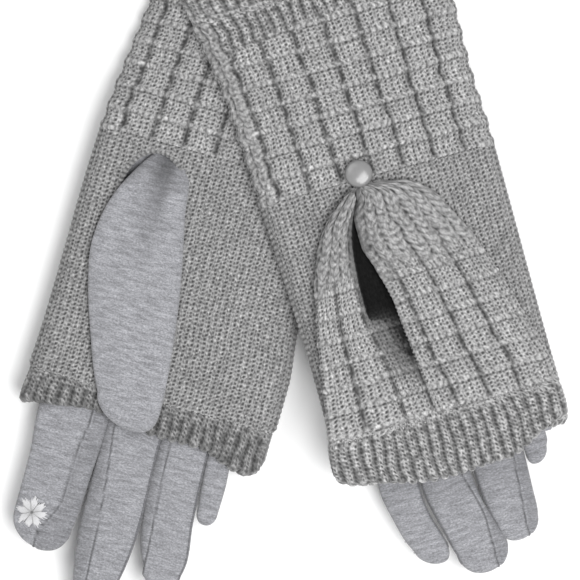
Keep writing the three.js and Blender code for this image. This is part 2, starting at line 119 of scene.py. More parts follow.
LEFT = {
    "side": "left", "face": -1, "hinge": -19.6, "axis": 1, "hem": -8, "ridge": 119, "wrist": 219,
    "thumb_edge": [(-8, -50), (32, -49), (119, -51.6), (174, -54.6), (219, -62.4)],
    "little_edge": [(-8, 53.3), (32, 52.8), (119, 53.2), (151, 52.2), (219, 54)],
    "mouth": [(-56, 0), (-40, -0.5), (-21, 1), (3, 0), (26, 1), (49, -1), (55, 0)],
    "flap": {
        "thumb_edge": [(-6, -52.5), (9, -51.6), (34, -47.6), (60, -43), (81, -37.6), (92, -33),
                       (101, -27.5), (107.5, -21), (112.5, -14), (115.5, -9.5)],
        "little_edge": [(-6, 53.2), (16, 52.9), (33, 48.5), (60, 41), (78, 35), (96.5, 26),
                        (105, 20.5), (111, 13), (115.5, 1)],
        "mouth": [(-53, -3), (-47, -8.4), (-31, -12.8), (-8, -17.5), (9, -17.4), (24, -16), (42, -8),
                  (52, -5)],
        "start": 10, "middle": 12.2, "half": 4.9,
    },
    "slit_left": [(0, -14), (30, -16.5), (59, -21.2), (75, -21), (93.5, -19), (101, -16.7),
                  (110, -12.4)],
    "slit_right": [(0, 2), (31, -3.5), (51, -6), (63, -7.4), (78, -10.8), (90.5, -14.6),
                   (101, -14.6), (110, -11)],
    "thumb_middle": 3.9, "thumb_hole": (-14, 88, 9, 9.5),
    "thumb": [(98, -26, -6), (80, -30, 0), (60, -31, 4), (30, -24, 9), (8, -16, 10), (1, -12, 8)],
    "thumb_tip": (-3, -3),
    "fingers": {
        "index": ([(-18.5, -36.2, -18.4), (-34, -33.5, -17.4), (-45, -30.4, -14.2), (-53, -26, -12)],
                  (-57.3, -18)),
        "middle": ([(-21.8, -17.2, 5.2), (-45, -12.8, 9.4), (-56, -10, 12.6), (-62.5, -6.5, 9.8)],
                   (-66.7, 1)),
        "ring": ([(-20.5, 7.4, 30.5), (-36, 8.4, 30), (-45.6, 10.2, 29.6), (-52.4, 13.6, 26.6)],
                 (-56.6, 19)),
        "little": ([(-15.8, 31.2, 43), (-18.5, 31.6, 42), (-21, 32, 41), (-23.5, 33, 38.4)],
                   (-25.5, 35.4)),
    },
    "seams": {"middle": ([(-21, 1.5), (-45, 6.5), (-62, 6.5)],), "ring": ([(-20, 26), (-50, 23.6)],)},
    "finger_level": 14.0, "gusset": 1, "flower": (-24, -44), "button": (-7.5, 121.2),
    "rib_from": 194, "rib_slope": 0.15, "chain_from": -45.5,
}


# ---- Small tools ----
def smooth(x):
    x = unit(x)
    return x * x * (3 - 2 * x)


def mix(a, b, t):
    return a + (b - a) * t


def mixed(a, b, t):
    """Every part of a pattern's answer mixed with the same part of another's."""
    return [mix(p, q, t) for p, q in zip(a, b)]


def unit(x):
    return np.clip(x, 0, 1)


def bell(x, width, power=2):
    """1 at x = 0, falling off smoothly over about width."""
    return np.exp(-((x / width) ** power))


def part_of(x):
    return x - np.floor(x)


def pair(a, b):
    """Two arrays spread over each other, as pairs."""
    return np.stack(np.broadcast_arrays(a, b), -1)


def circle(count):
    """Angles evenly round a full turn, the last one stopping short of the first."""
    return np.linspace(0, 2 * math.pi, count, endpoint=False)


def from_sides(q):
    """How far q, from 0 to 1 across a sheet, is from the nearer side."""
    return np.minimum(q, 1 - q)


def through(points):
    """A smooth curve through (position, value) points, without overshoot, level past its ends."""
    points = sorted(points)
    xs, ys = (np.array(v, float) for v in zip(*points))
    step, rise = np.diff(xs), np.diff(ys)
    slope = rise / step
    tangent = np.concatenate([[slope[0]], (slope[1:] + slope[:-1]) / 2, [slope[-1]]])
    tangent[1:-1][slope[1:] * slope[:-1] <= 0] = 0
    limit = np.minimum(np.abs(np.append(slope, slope[-1])), np.abs(np.insert(slope, 0, slope[0]))) * 3
    tangent = np.clip(tangent, -limit, limit)

    def value(x):
        x = np.clip(x, xs[0], xs[-1])
        i = np.clip(np.searchsorted(xs, x, "right") - 1, 0, len(xs) - 2)
        t = (x - xs[i]) / step[i]
        return (
            (2 * t**3 - 3 * t**2 + 1) * ys[i] + (t**3 - 2 * t**2 + t) * step[i] * tangent[i]
            + (3 * t**2 - 2 * t**3) * ys[i + 1] + (t**3 - t**2) * step[i] * tangent[i + 1]
        )

    return value


def waves(x, y, size, seed):
    """Smooth uneven rise and fall, about -1 to 1, with hills about size across."""
    total = 0
    for k in range(5):
        angle = seed * 1.7 + k * 2.4
        run = (x * math.cos(angle) + y * math.sin(angle)) / size * (0.8 + 0.23 * k)
        side = (y * math.cos(angle) - x * math.sin(angle)) / size
        total = total + np.sin(2 * math.pi * run + 3.1 * k + seed + 1.3 * np.sin(side * 2.1 + k))
    return total / 3.2


def chance(i, j, seed=0.0):
    """A number from 0 to 1 that looks random, the same each time for the same whole numbers."""
    v = np.sin(i * 12.9898 + j * 78.233 + seed * 37.719) * 43758.5453
    return part_of(v)


# ---- The gloves' own directions ----
for glove in (RIGHT, LEFT):
    joint = JOINTS[glove["side"] + "_flap_hinge"]
    axis = np.array(joint["axis"][:2]) * glove["axis"]
    glove["across"] = axis / np.linalg.norm(axis)
    glove["along"] = np.array([-glove["across"][1], glove["across"][0]])
    glove["origin"] = np.array(joint["pos_m"][:2]) / MM - glove["along"] * glove["hinge"]
    for shape in (glove, glove["flap"]):
        shape["left"], shape["right"] = through(shape["thumb_edge"]), through(shape["little_edge"])


def flat(glove, w, s):
    """The floor position, in millimetres, of a point of a glove."""
    return [glove["origin"][k] + w * glove["across"][k] + s * glove["along"][k] for k in (0, 1)]


def local(glove, x, y):
    dx, dy = x - glove["origin"][0], y - glove["origin"][1]
    return [dx * glove[n][0] + dy * glove[n][1] for n in ("across", "along")]


def right_middle(s):
    return mix(*LEAN_DROP, smooth((s - DRAPE_START) / DRAPE_LENGTH))


def middle(glove, w, s):
    """The height of a glove's middle sheet: the left glove lies draped on the right one."""
    w, s = np.asarray(w, float), np.asarray(s, float)
    if glove is RIGHT:
        return right_middle(s) + 0 * w
    low = mix(LEFT_LEVEL, LEFT_REST, smooth((s - DRAPE_START) / DRAPE_LENGTH))
    ow, os = local(RIGHT, *flat(LEFT, w, s))
    return mix(right_middle(os) + PILE_RISE, low, smooth((ow - PILE_EDGE) / DRAPE_WIDTH))


def put(glove, w, s, z):
    """World points in millimetres."""
    w, s, z = np.broadcast_arrays(w, s, z)
    x, y = flat(glove, w, s)
    return np.stack([x, y, z], -1)


def point(glove, w, s, z):
    return tuple(put(glove, w, s, z) * MM)


# ---- Knitted fabric: each pattern gives height (mm), relief and tone. Relief is painted shade and light: 0 a dark gap between stitches, 1 a lit crest ----
def plain(x, y, wale=WALE, course=COURSE):
    """Stockinette: columns of slanting legs, with painted shade where two legs part and between columns.
    """
    x = x + 0.26 * waves(x, y, 9, 1) + 0.1 * waves(x, y, 3.1, 8)
    y = y + 0.3 * waves(x, y, 11, 2) + 0.14 * waves(x, y, 3.7, 5)
    column = x / wale
    part = part_of(column)
    m = np.abs(2 * part - 1)
    lean = chance(np.floor(column), 0, 9) - 0.5
    phase = y / course - 1.05 * m + 0.18 * lean
    leg = np.abs(np.sin(math.pi * phase)) ** 0.4
    hole = 2 * math.pi * (y / course + 0.3 * lean)
    inner = bell(m, 0.5) * (0.5 + 0.5 * np.cos(hole - 3.4 * (part - 0.5))) ** 0.6
    outer = bell(1 - m, 0.26) * (0.62 - 0.38 * np.cos(hole - 1.6 * m))
    side, row = np.floor(column) * 2 + (part > 0.5), np.floor(phase)
    uneven = chance(side, row, 6)
    relief = (0.66 + 0.34 * leg) * (1 - (0.6 + 0.4 * uneven) * inner)
    relief = relief * (1 - (0.25 + 0.45 * chance(np.floor(column + 0.5), row, 7)) * outer)
    relief = relief * (0.9 + 0.14 * uneven)
    return 1.05 * relief, relief, chance(side, row) * 2 - 1


def purl(x, y):
    """A row of round purl bumps."""
    u = x / WALE * 2 + 0.5 * waves(x, y, 7, 14)
    bump = np.abs(np.cos(math.pi * u / 2)) ** 0.8
    tone = chance(np.floor(u), np.floor(y / COURSE), 3) * 2 - 1
    # The bumps' tops are painted lighter, by a random amount: painted light.
    light = 0.42 + 0.22 * chance(np.floor(u), np.floor(y / 5), 8)
    return 0.45 + 0.95 * bump, 0.42 + light * bump, tone


def waffle(x, y):
    """Stockinette blocks, parted by grooves up the hand and rows of purl across it."""
    h, relief, tone = plain(x, y)
    x = x + GROOVE_SHIFT + 0.4 * waves(x, y, 9, 6)
    block = np.floor(y / WAFFLE_TALL)
    x = x + 1.1 * (chance(np.floor(x / WAFFLE_WIDE + 0.5), block, 17) - 0.5)
    y = y + 0.55 * waves(x, y, 15, 9)
    gx, gy = part_of(x / WAFFLE_WIDE), part_of(y / WAFFLE_TALL)
    groove = bell(from_sides(gx) * WAFFLE_WIDE, GROOVE_HALF)
    groove = groove * np.clip(0.8 + 0.45 * waves(x, y, 7, 12), 0.25, 1)
    groove = groove * (0.45 + 0.55 * np.abs(np.sin(math.pi * gy)) ** 0.7)
    groove = groove * smooth((GROOVES_END - np.abs(x - GROOVE_SHIFT)) / 3)
    row = bell(from_sides(gy) * WAFFLE_TALL, 1.1, 4)
    under = bell(gy * WAFFLE_TALL - WAFFLE_TALL + 1.75, 0.45)
    broken = np.clip(0.85 + 0.45 * waves(x, y, 8, 15), 0.25, 1)
    row, under = row * broken, under * broken
    h, relief, tone = mixed((h, relief, tone), purl(x, y), row)
    puff = (np.sin(math.pi * gx) ** 0.6) * (0.6 + 0.4 * np.sin(math.pi * gy))
    h = h + 0.75 * puff - 1.1 * groove * (1 - 0.6 * row)
    # Painted shade in the grooves and under each purl row, painted light on the puffed blocks.
    relief = relief * (1 - 0.8 * groove * (1 - 0.6 * row)) * (0.9 + 0.1 * puff) * (1 - 0.3 * under)
    return h, unit(relief * 1.15), tone


def rib(x, y):
    """Ribbing: one raised column of stitches, one sunk one."""
    x = x + 0.5 * waves(x, y, 22, 5)
    h, relief, tone = plain(x * WALE * 2 / RIB_PITCH, y)
    u = part_of(x / RIB_PITCH)
    crest = (0.5 - 0.5 * np.cos(2 * math.pi * u - 1.2)) ** 0.9
    late = 1.5 + 2.8 * chance(np.floor(x / RIB_PITCH), 0, 31)
    crest = mix(0.75, crest, smooth((y - late) / 3))
    # Painted light on the raised columns, painted shade in the sunk ones and between the rows.
    bars = np.abs(np.sin(math.pi * (y / COURSE + 0.3))) ** 0.6
    relief = relief * (0.62 + 0.56 * crest) * (0.87 + 0.15 * bars)
    relief = relief * (0.95 + 0.25 * waves(x, y, 6, 19))
    return 0.75 * crest + 0.9 * h * (0.4 + 0.6 * crest), unit(relief * 1.1), tone


def ragged(depth, width, pitch, uneven, size, seed):
    """The bumpy line of a knitted edge, as a function of q, which grows by 1 over each side."""
    return lambda q: (depth * np.sin(q * width * math.pi * 2 / pitch)
                      + uneven * waves(q * 60, 0 * q, size, seed))


def jersey_pattern(x, y):
    return 0 * x, 0 * x + 0.8, 0 * x


def ropes(x, y):
    """Long thick ropes of stitches side by side."""
    u = x / (WALE * 3.1) + 0.16 * waves(x, y, 21, 3) + 0.06 * waves(x, y, 6, 30)
    v = part_of(u)
    m = np.abs(2 * v - 1)
    phase = y / (COURSE * 1.7) - 0.9 * m + 0.2 * waves(x, y, 8, 27)
    leg = np.abs(np.sin(math.pi * phase)) ** 0.5
    rope = np.sin(math.pi * v) ** 0.6
    part = 0.5 + 0.5 * np.cos(2 * math.pi * (phase - 0.1))
    holes = np.clip(0.7 + 0.6 * waves(x, y, 6, 33), 0.15, 1)
    # Painted shade between the ropes and in their middles, broken up at random.
    between = bell(1 - m, 0.24) * (0.3 + 0.7 * part) * holes
    core = bell(m, 0.24) * part * (1.1 - holes)
    relief = (0.56 + 0.34 * leg) * (1 - 0.95 * between) * (1 - 0.7 * core)
    return 0.2 + 1.3 * rope + 0.6 * leg * rope, relief * (0.96 + 0.14 * waves(x, y, 5, 23))


def cuff_pattern(rib_from, slope, chain_from):
    """Waffle up to the wrist, then ribbing, which starts lower at the thumb's side.
    Ropes run along the edge beyond chain_from."""

    def pattern(x, y):
        a, b = waffle(x, y), rib(x, y)
        share = smooth((y - rib_from - slope * x + 0.8 * waves(x, y, 12, 8)) / 3)
        h, relief, tone = mixed(a, b, share)
        rope_h, rope_relief = ropes(x * 1.7, y * 1.25)
        chain = 0.8 * smooth((chain_from - x) / 1.5)
        return mix(h, rope_h, chain), mix(relief, rope_relief * 1.05, chain), tone

    return pattern


# ---- Meshes from grids of points ----
def normals(P, closed):
    """Unit normals of a grid of points. closed joins the last column to the first."""
    across = np.roll(P, -1, 1) - np.roll(P, 1, 1) if closed else np.gradient(P, axis=1)
    n = np.cross(np.gradient(P, axis=0), across)
    return n / np.maximum(np.linalg.norm(n, axis=-1, keepdims=True), 1e-9)


def sheet(P, fabric, relief, tone, closed, flip, keep=None):
    """Points in rows and columns with their looks. closed joins the last column to the first."""
    return {"P": P, "fabric": fabric, "relief": relief, "tone": tone, "round": closed, "flip": flip,
            "keep": keep}


def grid(P, fabric, pattern=jersey_pattern, outward=1, fade=None, round_columns=False, keep=None,
         dark=None, amount=1.0):
    """A grid of points (rows, columns), raised by its stitches along its normals."""
    n = normals(P, round_columns) * outward
    h, relief, tone = pattern(fabric[..., 0], fabric[..., 1])
    if fade is not None:
        h = h * fade
    P = P + n * (h * amount)[..., None]
    # dark is painted shade, taken off the relief.
    if dark is not None:
        relief = relief * (1 - dark)
    return sheet(P, fabric, relief, tone, round_columns, outward < 0, keep)


def placed(name, data):
    """A new object in the scene."""
    made = bpy.data.objects.new(name, data)
    bpy.context.scene.collection.objects.link(made)
    return made


def settled(points):
    """The points, with the lowest ones pressed flat against the floor."""
    points = points.copy()
    z = points[:, 2]
    points[:, 2] = np.where(z < 1, np.exp(np.minimum(z, 1) - 1), z)
    return points


def piece(glove, name, grids, material, body, replaced, span=None):
    """One object from grids. All names are given without the glove's side.
    span, when given, leaves the piece off its body, with its place baked into its points; the two points
    are not used."""
    side = glove["side"] + "_"
    name, body = side + name, side + body
    co, loops, starts, deep = [], [], 0, []
    relief, tone, fabric = [], [], []
    for g in grids:
        rows, columns = g["P"].shape[:2]
        index = np.arange(rows * columns).reshape(rows, columns) + starts
        if g["round"]:
            index = np.concatenate([index, index[:, :1]], 1)
        quads = np.stack([index[:-1, :-1], index[:-1, 1:], index[1:, 1:], index[1:, :-1]], -1)
        quads = quads.reshape(-1, 4) if g["keep"] is None else quads[g["keep"]]
        deep.append(g["deep"][:-1, :-1].ravel() if "deep" in g else np.zeros(len(quads), bool))
        loops.append(quads if not g["flip"] else quads[:, ::-1])
        co.append(settled(g["P"].reshape(-1, 3)) * MM)
        relief.append(np.asarray(g["relief"]).ravel())
        tone.append(np.asarray(g["tone"]).ravel())
        fabric.append(g["fabric"].reshape(-1, 2))
        starts += rows * columns
    co, quads = np.concatenate(co), np.concatenate(loops)
    used = np.zeros(len(co), bool)
    used[quads.ravel()] = True
    renumber = np.cumsum(used) - 1
    quads, co = renumber[quads], co[used]
    mesh = bpy.data.meshes.new(name)
    mesh.vertices.add(len(co))
    mesh.vertices.foreach_set("co", co.ravel())
    mesh.loops.add(quads.size)
    mesh.loops.foreach_set("vertex_index", quads.ravel().astype(np.int32))
    mesh.polygons.add(len(quads))
    mesh.polygons.foreach_set("loop_start", np.arange(len(quads), dtype=np.int32) * 4)
    mesh.polygons.foreach_set("use_smooth", np.ones(len(quads), bool))
    mesh.materials.append(material)
    deep = np.concatenate(deep)
    # Faces marked deep take the darkened knit: painted shade deep in a fold.
    if deep.any():
        mesh.materials.append(HOLLOW_SHADE)
        mesh.polygons.foreach_set("material_index", deep.astype(np.int32))
    mesh.update(calc_edges=True)
    for label, values in (("relief", relief), ("tone", tone)):
        layer = mesh.attributes.new(label, "FLOAT", "POINT")
        layer.data.foreach_set("value", np.concatenate(values)[used].astype(np.float32))
    layer = mesh.attributes.new("fabric", "FLOAT_VECTOR", "POINT")
    cloth = np.concatenate(fabric)[used]
    layer.data.foreach_set("vector", np.pad(cloth, ((0, 0), (0, 1))).ravel().astype(np.float32))
    made = placed(name, mesh)
    bpy.context.view_layer.update()
    if span:
        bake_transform(made)
    else:
        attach(made, body)
    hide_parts(*(side + node for node in replaced))


# ---- Materials ----
def material(name, build, roughness, sheen=0.0, coat=0.0):
    made = bpy.data.materials.new(name)
    made.use_nodes = True
    n = Nodes(made.node_tree)
    shader = n.nodes["Principled BSDF"]
    numbers = {"Roughness": roughness, "Sheen Weight": sheen, "Sheen Roughness": 0.6, "Coat Weight": coat}
    for label, value in numbers.items():
        shader.inputs[label].default_value = value
    colour, height, distance = build(n)
    n.links.new(colour, shader.inputs["Base Color"])
    if height is not None:
        inputs = {"Strength": 0.6, "Distance": distance * MM, "Height": height}
        bump = n.put("ShaderNodeBump", inputs)
        n.links.new(bump.outputs["Normal"], shader.inputs["Normal"])
    return made


class Nodes:
    """Shorthands for the nodes the materials share."""

    def __init__(self, tree):
        self.nodes, self.links = tree.nodes, tree.links

    def put(self, kind, inputs=(), **settings):
        node = self.nodes.new(kind)
        for k, v in settings.items():
            setattr(node, k, v)
        for key, value in dict(inputs).items():
            socket = node.inputs[key]
            if isinstance(value, bpy.types.NodeSocket):
                self.links.new(value, socket)
            else:
                socket.default_value = value
        return node

    def attribute(self, name, output="Fac"):
        return self.put("ShaderNodeAttribute", attribute_name=name).outputs[output]

    def noise(self, vector, scale, detail=3.0, roughness=0.6):
        inputs = {"Vector": vector, "Scale": scale, "Detail": detail, "Roughness": roughness}
        return self.put("ShaderNodeTexNoise", inputs).outputs["Fac"]

    def grain(self, cloth, across, along, detail=3.0, roughness=0.6):
        """Noise over the fabric, with so many turns a millimetre each way."""
        size = {"Vector": cloth, "Scale": (across, along, 1)}
        scaled = self.put("ShaderNodeMapping", size).outputs["Vector"]
        return self.noise(scaled, 1.0, detail, roughness)

    def ramp(self, value, *stops):
        node = self.put("ShaderNodeValToRGB", {"Fac": value})
        while len(node.color_ramp.elements) < len(stops):
            node.color_ramp.elements.new(0.5)
        for element, (place, colour) in zip(node.color_ramp.elements, stops):
            element.position = place
            element.color = (*colour, 1)
        return node.outputs["Color"]

    def times(self, a, b):
        """One colour multiplied by another."""
        mix_node = {"data_type": "RGBA", "blend_type": "MULTIPLY"}
        return self.put("ShaderNodeMix", {0: 1.0, 6: a, 7: b}, **mix_node).outputs[2]


def grey(v, warm=0.0, blue=0.0):
    return (v * (1 + warm), v, v * (1 + blue))


def yarn(n):
    cloth = n.attribute("fabric", "Vector")
    relief = n.attribute("relief")
    # Colour follows relief: near black in the gaps between stitches, pale on the crests; painted shade
    # and light.
    base = n.ramp(relief, (0.0, grey(0.008)), (0.25, grey(0.036, 0.004)), (0.6, grey(0.168, 0.004)),
                  (1.0, grey(0.455, 0.004)))
    fleck = n.grain(cloth, 1.2, 0.62, 4, 0.72)
    flecked = n.ramp(fleck, (0.3, grey(0.42)), (0.5, grey(0.98)), (0.72, grey(1.6)))
    colour = n.times(base, flecked)
    half = {0: n.attribute("tone"), 1: 0.5, 2: 0.5}
    tone = n.put("ShaderNodeMath", half, operation="MULTIPLY_ADD").outputs[0]
    toned = n.ramp(tone, (0.0, grey(0.78)), (1.0, grey(1.18)))
    colour = n.times(colour, toned)
    broad = n.ramp(n.noise(cloth, 0.05, 2), (0.3, grey(0.92)), (0.7, grey(1.06)))
    colour = n.times(colour, broad)
    fibre = n.grain(cloth, 3.2, 2.4, 5, 0.75)
    return colour, fibre, 0.7


def marl(n):
    cloth = n.attribute("fabric", "Vector")
    streak = n.grain(cloth, 0.75, 1.6, 6, 0.75)
    base = n.ramp(streak, (0.28, (0.172, 0.174, 0.188)), (0.5, (0.258, 0.26, 0.277)),
                  (0.72, (0.38, 0.382, 0.403)))
    long = n.grain(cloth, 0.12, 0.6, 4, 0.7)
    base = n.times(base, n.ramp(long, (0.34, grey(0.7)), (0.66, grey(1.28))))
    grain = n.grain(cloth, 1.1, 1.5, 3, 0.7)
    speck = n.ramp(grain, (0.32, grey(0.68)), (0.68, grey(1.28)))
    colour = n.times(base, speck)
    relief = n.attribute("relief")
    # Relief carries the fingers' painted shade and their seam lines, and darkens the colour here.
    depth = n.ramp(relief, (0.0, grey(0.22)), (0.8, grey(1.0)))
    colour = n.times(colour, depth)
    loops = n.grain(cloth, 2.4, 3.2)
    return colour, loops, 0.22


def elastic_look(n):
    cloth = n.attribute("fabric", "Vector")
    fine = n.grain(cloth, 2, 2)
    return n.ramp(fine, (0.3, grey(0.3)), (0.7, grey(0.5))), fine, 0.2


def pearl(n):
    cloud = n.noise(n.put("ShaderNodeTexCoord").outputs["Object"], 160.0, 2)
    return n.ramp(cloud, (0.3, grey(0.2)), (0.7, grey(0.23))), None, 0


def satin(n):
    cloth = n.attribute("fabric", "Vector")
    fine = n.grain(cloth, 3, 3, 2)
    relief = n.attribute("relief")
    # Pale on the thread crests, dark between the threads and in the sunk middle: painted light and shade.
    base = n.ramp(relief, (0.0, grey(0.14)), (0.5, grey(0.42)), (1.0, (0.7, 0.7, 0.72)))
    return base, fine, 0.1


def shaded(look, shade):
    """Another look, darkened as painted shade: the knit deep inside a fold, or the strips in a finger's
    side.
    """

    def build(n):
        colour, fibre, distance = look(n)
        return n.times(colour, (*shade, 1)), fibre, distance

    return build


KNIT = material("marled_knit", yarn, 0.95, sheen=0.3)
# A darkened knit with almost no specular and no sheen: painted shade deep in the flap's fold.
HOLLOW_SHADE = material("shaded_knit", shaded(yarn, (0.85, 0.85, 0.85)), 1.0)
HOLLOW_SHADE.node_tree.nodes["Principled BSDF"].inputs["Specular IOR Level"].default_value = 0.1
JERSEY = material("heather_jersey", marl, 0.9, sheen=0.25)
# Painted shade on the side strips between fingers: a darkened copy of the jersey.
JERSEY_SIDE_SHADE = material("heather_jersey_side_shade", shaded(marl, (0.66, 0.66, 0.67)), 0.9, sheen=0.25)
ELASTIC = material("braided_elastic", elastic_look, 0.7)
BUTTON = material("pearl_button", pearl, 0.22, coat=0.12)
SATIN = material("satin_thread", satin, 0.6, sheen=0.1)


# ---- Tubes seen from their middle sheet ----
def stadium(left, right, radius, q):
    """Half a flat tube's outline: q from 0 to 1 from one side round to the other.
    Gives the place across and the height above the middle."""
    arc = math.pi / 2 * radius
    length = (right - left) - 2 * radius + 2 * arc
    d = q * length
    start, finish = d < arc, d > length - arc
    angle = np.where(start, d, length - d) / radius
    inset = radius * (1 - np.cos(angle))
    across = np.where(start, left + inset, np.where(finish, right - inset, left + radius + d - arc))
    height = np.where(start | finish, radius * np.sin(np.clip(angle, 0, math.pi / 2)), radius)
    return across, height


def lumps(glove, w, s, up):
    """The soft, uneven lie of the cloth."""
    return 0.55 * waves(w, s, 46, 3 if glove is RIGHT else 8) * (1 if up > 0 else 0.4)


def beat(glove, s):
    """How far a side bulges with the rows of its waffle knit."""
    angle = 2 * math.pi * (s - glove["ridge"]) / WAFFLE_TALL
    return SIDE_BEAT * np.cos(angle) * (s > glove["ridge"])


def half_tube(glove, s0, s1, up, pattern, step, keep=None, shift=0.0):
    """One side of the flat knit tube, palm or back, from s0 to s1 along the glove."""
    rows = max(3, int((s1 - s0) / step))
    s = np.linspace(s0, s1, rows)[:, None]
    left, right = glove["left"](s) - beat(glove, s), glove["right"](s) + beat(glove, s)
    columns = int((np.max(right - left) + 8) / step)
    q = np.linspace(0, 1, columns)[None, :]
    w, t = stadium(left, right, SHELL, q)
    crown = np.sin(math.pi * q) ** 0.5
    z = middle(glove, w, s) + up * (t + crown) + lumps(glove, w, s, up) * unit(t / SHELL)
    fabric = pair((q - 0.5) * HAND_ROUND, s + shift)
    fade = unit(from_sides(q) * HAND_ROUND / 1.5)
    if keep:
        keep = keep((w[:-1, :-1] + w[1:, 1:]) / 2, (s[:-1] + s[1:]) / 2)
    # rows run along s and columns along w, so w x s is up
    return grid(put(glove, w, s, z), fabric, pattern, outward=-up, fade=fade, keep=keep)


def hem_rows(start, mouth, step):
    """Rows down the outside to the mouth, round its edge and back up the inside.
    mouth may differ round the tube. Gives s and the growth outwards, rows by columns."""
    outer = np.linspace(0, 1, max(4, int(abs(start - np.mean(mouth)) / step)))[:, None]
    s_out = mix(start, mouth, outer)
    turn = np.linspace(0, math.pi, 8)[1:, None]
    toward = 1 if start < np.mean(mouth) else -1
    s_turn = mouth + toward * HEM_THICK / 2 * np.sin(turn)
    g_turn = -HEM_THICK / 2 * (1 - np.cos(turn))
    inner = np.linspace(0, 1, max(4, int(TURNED_IN / (2 * step))))[1:, None]
    s_in = mix(mouth, mouth - toward * TURNED_IN, inner)
    s = np.concatenate([s_out + 0 * mouth, s_turn, s_in + 0 * mouth])
    grow = np.concatenate([0 * s_out + 0 * mouth, g_turn + 0 * mouth, 0 * s_in - HEM_THICK + 0 * mouth])
    return s, grow


def band_piece(glove, plan, name, body, start, mouth, half, lift, fabric_width, replaced, step,
               flare=0.0, dive=0.0):
    """A ribbed band round a mouth, turned in at its edge. It runs from start to mouth(w, q)."""
    left, right = plan["left"], plan["right"]
    whole_ribs = fabric_width // RIB_PITCH * RIB_PITCH
    width = float(np.max(right(np.zeros(1)) - left(np.zeros(1)))) + 8
    columns = int(2 * width / step)
    q = np.linspace(0, 2, columns, endpoint=False)[None, :]
    up = q < 1
    e = np.where(up, q, 2 - q)
    mouth_s = mouth(left(start) + (right(start) - left(start)) * e, q)
    s, grow = hem_rows(start, mouth_s, step)
    ease = unit((s - start) / np.where(np.abs(mouth_s - start) < 1e-6, 1, mouth_s - start))
    outside = np.arange(len(s))[:, None] < len(s) // 2
    grow = grow + flare * np.sin(ease * math.pi * 0.75) - dive * unit(1 - ease * 5) * outside
    w, t = stadium(left(s) - grow, right(s) + grow, np.maximum(half + grow, 0.4), e + 0 * s)
    crown = 0.9 * np.sin(math.pi * e) ** 0.5
    P = put(glove, w, s, middle(glove, w, s) + lift + np.where(up, 1, -1) * (t + crown))
    run = np.hypot(np.diff(s, axis=0, prepend=s[:1]), np.diff(grow, axis=0, prepend=grow[:1]))
    fabric = pair((q - 0.5) * whole_ribs, np.cumsum(run, 0))
    toward = 1 if np.mean(mouth_s) > start else -1
    shade = RIGHT_BAND_SHADE if glove is RIGHT else 0.0
    made = grid(P, fabric, rib, outward=-toward, round_columns=True, dark=shade)
    piece(glove, name, [made], KNIT, body, [replaced])


# ---- Shells ----
def shell(glove):
    hem, ridge, wrist = glove["hem"], glove["ridge"], glove["wrist"]
    hw, hs, rw, rs = glove["thumb_hole"]
    hole = lambda w, s: ((w - hw) / rw) ** 2 + ((s - hs) / rs) ** 2 > 1
    cuff = cuff_pattern(glove["rib_from"] - ridge, glove["rib_slope"], glove["chain_from"])
    for label, up in (("palm", glove["face"]), ("back", -glove["face"])):
        step = FINE if up > 0 else COARSE
        keep = hole if label == "palm" else None
        hand = half_tube(glove, hem + HEM - 1, ridge, up, plain, step, keep=keep)
        piece(glove, f"hand_{label}", [hand], KNIT, "glove", [f"shell_{label}"])
        arm = half_tube(glove, ridge, wrist - BAND + 1, up, cuff, step, shift=-ridge)
        piece(glove, f"cuff_{label}_knit", [arm], KNIT, "glove", [f"cuff_{label}"])
    mouth_of = through(glove["mouth"])
    bumps = ragged(0.55, 55, 2.35, 0.4, 17, 4)
    band_piece(glove, glove, "finger_hem_rib", "glove", hem + HEM,
               lambda w, q: hem + mouth_of(w) + bumps(q), SHELL, 0, HAND_ROUND, "finger_hem", FINE * 1.1)
    band_piece(glove, glove, "wrist_rib", "glove", wrist - BAND, lambda w, q: wrist + bumps(q) * 0.7,
               SHELL, 0, HAND_ROUND, "wrist_band", FINE * 1.5)


for glove in (RIGHT, LEFT):
    shell(glove)

# ---- Flaps ----
def smoothed(rows):
    """Corner cutting, twice, along axis 1 of (rows, points, values)."""
    for _ in range(2):
        a, b = rows[:, :-1], rows[:, 1:]
        cut = np.stack([0.75 * a + 0.25 * b, 0.25 * a + 0.75 * b], 2).reshape(
            rows.shape[0], -1, rows.shape[2])
        rows = np.concatenate([rows[:, :1], cut, rows[:, -1:]], 1)
    return rows


def resampled(rows, step):
    """The same number of points on each row, evenly along its mean outline."""
    lengths = np.linalg.norm(np.diff(rows[..., :2], axis=1), axis=2).max(0)
    run = np.concatenate([[0], np.cumsum(lengths)])
    count = int(run[-1] / step)
    where = np.interp(np.linspace(0, run[-1], count), run, np.arange(len(run)))
    i = np.minimum(where.astype(int), len(run) - 2)
    t = (where - i)[None, :, None]
    return rows[:, i] * (1 - t) + rows[:, i + 1] * t


TOP, LOW = 16.9, 11.4  # heights of the folded flap's crest and of its edge above the middle sheet
POCKET = 57.0  # how far up the flap its front fold opens
TIP_START, TIP = 97.0, 115.5  # where the left flap starts to thin towards its tip, and the tip
RIGHT_TIP = 114.5
SLIT_DEEP = 7.4  # the depth of the dark opening


